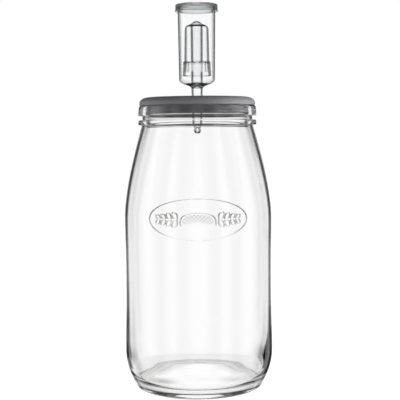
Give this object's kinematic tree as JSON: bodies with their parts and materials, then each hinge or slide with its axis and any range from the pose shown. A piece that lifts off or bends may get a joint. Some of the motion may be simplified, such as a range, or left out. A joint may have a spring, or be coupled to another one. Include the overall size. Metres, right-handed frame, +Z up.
{
  "type": "pickling jar",
  "caption": "Tall round glass fermentation jar with a soft plug lid and a clear airlock whose float and cap lift, for pickling vegetables in brine.",
  "frame": {"origin": "centre of the ring that the jar stands on", "axes": "+Z up along the axis of the jar, lid and airlock; -Y towards the front, where the relief panel is"},
  "size_m": [0.1396, 0.1396, 0.3577],
  "materials": {
    "glass": "clear soda-lime glass, fire polished",
    "silicone": "matt grey silicone",
    "airlock_clear": "clear moulded styrene",
    "float_clear": "clear moulded styrene, slightly cloudy",
    "cap_clear": "clear moulded styrene"
  },
  "bodies": {
    "jar": {"glass_jar": "glass"},
    "lid": {"silicone_lid": "silicone"},
    "airlock": {"airlock_body": "airlock_clear"},
    "float": {"airlock_float": "float_clear"},
    "cap": {"airlock_cap": "cap_clear"}
  },
  "joints": [
    {"name": "lid_lift", "type": "slide", "parent": "jar", "child": "lid", "axis": [0, 0, 1], "range_m": [0, 0.06]},
    {"name": "airlock_pull", "type": "slide", "parent": "lid", "child": "airlock", "axis": [0, 0, 1], "range_m": [0, 0.05]},
    {"name": "float_rise", "type": "slide", "parent": "airlock", "child": "float", "axis": [0, 0, 1], "range_m": [0, 0.013]},
    {"name": "cap_lift", "type": "slide", "parent": "airlock", "child": "cap", "axis": [0, 0, 1], "range_m": [0, 0.03]}
  ]
}
